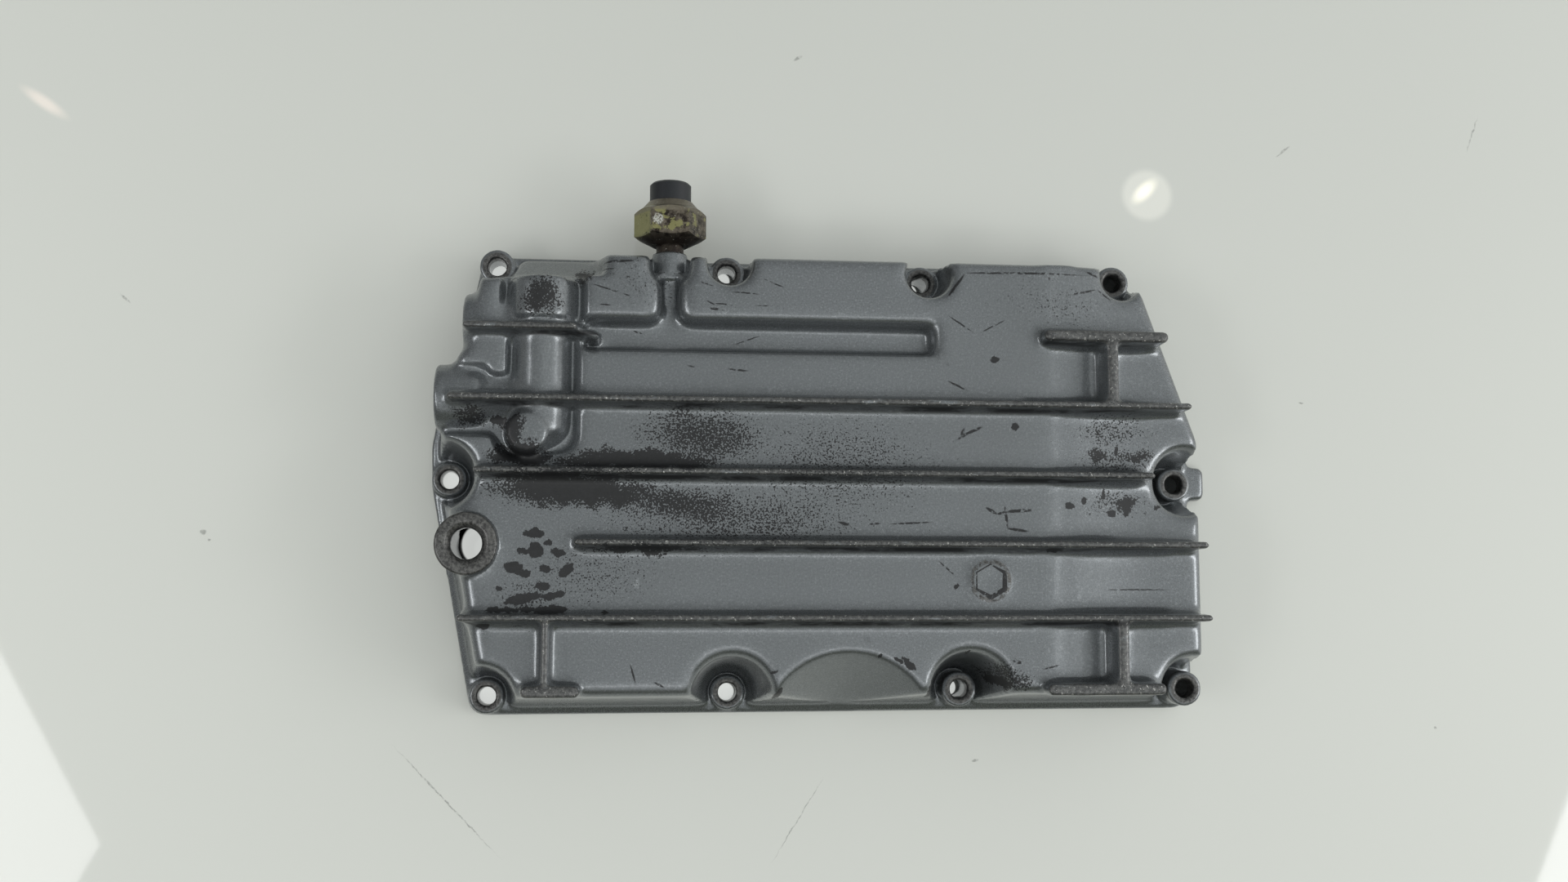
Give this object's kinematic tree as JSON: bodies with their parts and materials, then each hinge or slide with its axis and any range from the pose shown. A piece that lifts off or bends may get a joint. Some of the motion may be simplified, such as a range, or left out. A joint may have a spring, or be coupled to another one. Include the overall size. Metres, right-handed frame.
{
  "type": "engine oil pan",
  "caption": "Ribbed cast engine oil pan with bolt bosses, oil galleries, open drain hole and a screwed-in oil pressure switch.",
  "frame": {"origin": "middle of the gasket face, halfway between the two end bolt holes", "axes": "+Z from the gasket face to the outer floor, +X along the cooling ribs away from the drain, +Y towards the pressure switch"},
  "size_m": [0.2843, 0.1874, 0.045],
  "materials": {
    "cast_paint": "satin silver-grey paint, worn",
    "plated_steel": "dull yellow plating, rusty and dirty",
    "black_plastic": "matt black"
  },
  "bodies": {
    "root": {"oil_pan": "cast_paint", "switch_body": "plated_steel", "switch_cap": "black_plastic"}
  },
  "joints": []
}
